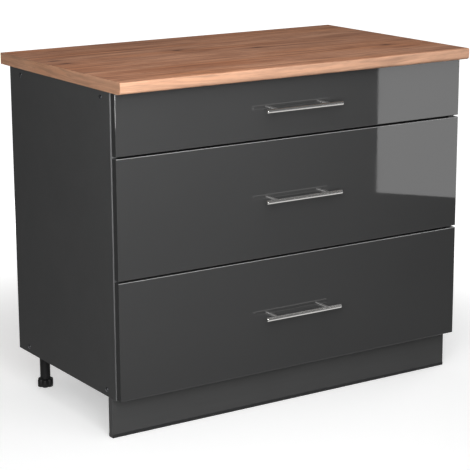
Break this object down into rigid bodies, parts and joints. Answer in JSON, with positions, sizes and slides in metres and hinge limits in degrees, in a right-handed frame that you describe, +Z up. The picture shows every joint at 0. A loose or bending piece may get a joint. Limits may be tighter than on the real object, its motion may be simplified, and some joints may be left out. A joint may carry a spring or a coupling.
{
  "type": "kitchen base cabinet",
  "caption": "Kitchen base cabinet with oak-look worktop, gloss anthracite drawer fronts, steel bar handles, plinth and adjustable legs.",
  "frame": {"origin": "floor level, at the middle of the cabinet's outline", "axes": "+X to the right seen from the front, +Y to the wall behind, +Z up"},
  "size_m": [1.004, 0.604, 0.85],
  "materials": {
    "oak_laminate": "matt oak-look laminate on chipboard",
    "anthracite_board": "matt melamine on chipboard",
    "gloss_anthracite": "high-gloss lacquer on fibreboard",
    "hardboard": "thin fibreboard, coated on the inner face",
    "drawer_board": "light grey melamine on chipboard",
    "brushed_steel": "brushed along the bar",
    "zinc_steel": "bright zinc plating",
    "black_zinc": "black-coated steel",
    "grey_enamel": "light grey epoxy enamel on sheet steel",
    "white_nylon": "natural nylon",
    "black_plastic": "moulded, lightly grained",
    "seal_strip": "soft dark sealing profile",
    "bumper_gel": "clear soft bumper"
  },
  "bodies": {
    "carcass": {"back_panel": "hardboard", "bottom_panel": "anthracite_board", "carcass_screws": "black_zinc", "front_bumpers": "bumper_gel", "front_top_rail": "anthracite_board", "left_side_panel": "anthracite_board", "leg_sockets": "black_plastic", "leg_tubes": "black_plastic", "lower_cabinet_rails": "grey_enamel", "middle_cabinet_rails": "grey_enamel", "plinth_board": "anthracite_board", "plinth_clips": "black_plastic", "plinth_seal": "seal_strip", "rear_top_rail": "anthracite_board", "right_side_panel": "anthracite_board", "runner_screws": "zinc_steel", "upper_cabinet_rails": "grey_enamel", "worktop": "oak_laminate", "worktop_brackets": "zinc_steel", "worktop_end_bands": "oak_laminate"},
    "lower_drawer": {"lower_drawer_back": "drawer_board", "lower_drawer_bottom": "drawer_board", "lower_drawer_brackets": "zinc_steel", "lower_drawer_front": "gloss_anthracite", "lower_drawer_left_side": "grey_enamel", "lower_drawer_railings": "grey_enamel", "lower_drawer_right_side": "grey_enamel", "lower_front_screws": "zinc_steel", "lower_handle_bar": "brushed_steel", "lower_handle_posts": "brushed_steel"},
    "middle_drawer": {"middle_drawer_back": "drawer_board", "middle_drawer_bottom": "drawer_board", "middle_drawer_brackets": "zinc_steel", "middle_drawer_front": "gloss_anthracite", "middle_drawer_left_side": "grey_enamel", "middle_drawer_railings": "grey_enamel", "middle_drawer_right_side": "grey_enamel", "middle_front_screws": "zinc_steel", "middle_handle_bar": "brushed_steel", "middle_handle_posts": "brushed_steel"},
    "upper_drawer": {"upper_drawer_back": "drawer_board", "upper_drawer_bottom": "drawer_board", "upper_drawer_brackets": "zinc_steel", "upper_drawer_front": "gloss_anthracite", "upper_drawer_left_side": "grey_enamel", "upper_drawer_right_side": "grey_enamel", "upper_front_screws": "zinc_steel", "upper_handle_bar": "brushed_steel", "upper_handle_posts": "brushed_steel"},
    "front_left_foot": {"front_left_foot": "black_plastic"},
    "front_right_foot": {"front_right_foot": "black_plastic"},
    "lower_front_rollers": {"lower_front_rollers": "white_nylon"},
    "lower_rear_rollers": {"lower_rear_rollers": "white_nylon"},
    "middle_front_rollers": {"middle_front_rollers": "white_nylon"},
    "middle_rear_rollers": {"middle_rear_rollers": "white_nylon"},
    "rear_left_foot": {"rear_left_foot": "black_plastic"},
    "rear_right_foot": {"rear_right_foot": "black_plastic"},
    "upper_front_rollers": {"upper_front_rollers": "white_nylon"},
    "upper_rear_rollers": {"upper_rear_rollers": "white_nylon"}
  },
  "joints": [
    {"name": "lower_drawer_slide", "type": "slide", "parent": "carcass", "child": "lower_drawer", "axis": [0, -1, 0], "range_m": [0, 0.36]},
    {"name": "lower_front_roller_spin", "type": "hinge", "parent": "carcass", "child": "lower_front_rollers", "pos_m": [0, -0.231, 0.1367], "axis": [1, 0, 0], "continuous": true},
    {"name": "lower_rear_roller_spin", "type": "hinge", "parent": "lower_drawer", "child": "lower_rear_rollers", "pos_m": [0, 0.187, 0.1345], "axis": [1, 0, 0], "continuous": true},
    {"name": "middle_drawer_slide", "type": "slide", "parent": "carcass", "child": "middle_drawer", "axis": [0, -1, 0], "range_m": [0, 0.36]},
    {"name": "middle_front_roller_spin", "type": "hinge", "parent": "carcass", "child": "middle_front_rollers", "pos_m": [0, -0.231, 0.4253], "axis": [1, 0, 0], "continuous": true},
    {"name": "middle_rear_roller_spin", "type": "hinge", "parent": "middle_drawer", "child": "middle_rear_rollers", "pos_m": [0, 0.187, 0.4231], "axis": [1, 0, 0], "continuous": true},
    {"name": "upper_drawer_slide", "type": "slide", "parent": "carcass", "child": "upper_drawer", "axis": [0, -1, 0], "range_m": [0, 0.36]},
    {"name": "upper_front_roller_spin", "type": "hinge", "parent": "carcass", "child": "upper_front_rollers", "pos_m": [0, -0.231, 0.7139], "axis": [1, 0, 0], "continuous": true},
    {"name": "upper_rear_roller_spin", "type": "hinge", "parent": "upper_drawer", "child": "upper_rear_rollers", "pos_m": [0, 0.187, 0.7117], "axis": [1, 0, 0], "continuous": true},
    {"name": "front_left_foot_screw", "type": "slide", "parent": "carcass", "child": "front_left_foot", "axis": [0, 0, -1], "range_m": [0, 0.03]},
    {"name": "front_right_foot_screw", "type": "slide", "parent": "carcass", "child": "front_right_foot", "axis": [0, 0, -1], "range_m": [0, 0.03]},
    {"name": "rear_left_foot_screw", "type": "slide", "parent": "carcass", "child": "rear_left_foot", "axis": [0, 0, -1], "range_m": [0, 0.03]},
    {"name": "rear_right_foot_screw", "type": "slide", "parent": "carcass", "child": "rear_right_foot", "axis": [0, 0, -1], "range_m": [0, 0.03]}
  ],
  "couplings": [
    {"joint": "lower_front_roller_spin", "follows": "lower_drawer_slide", "rad_per_m": 111.11},
    {"joint": "lower_rear_roller_spin", "follows": "lower_drawer_slide", "rad_per_m": 111.11},
    {"joint": "middle_front_roller_spin", "follows": "middle_drawer_slide", "rad_per_m": 111.11},
    {"joint": "middle_rear_roller_spin", "follows": "middle_drawer_slide", "rad_per_m": 111.11},
    {"joint": "upper_front_roller_spin", "follows": "upper_drawer_slide", "rad_per_m": 111.11},
    {"joint": "upper_rear_roller_spin", "follows": "upper_drawer_slide", "rad_per_m": 111.11}
  ]
}
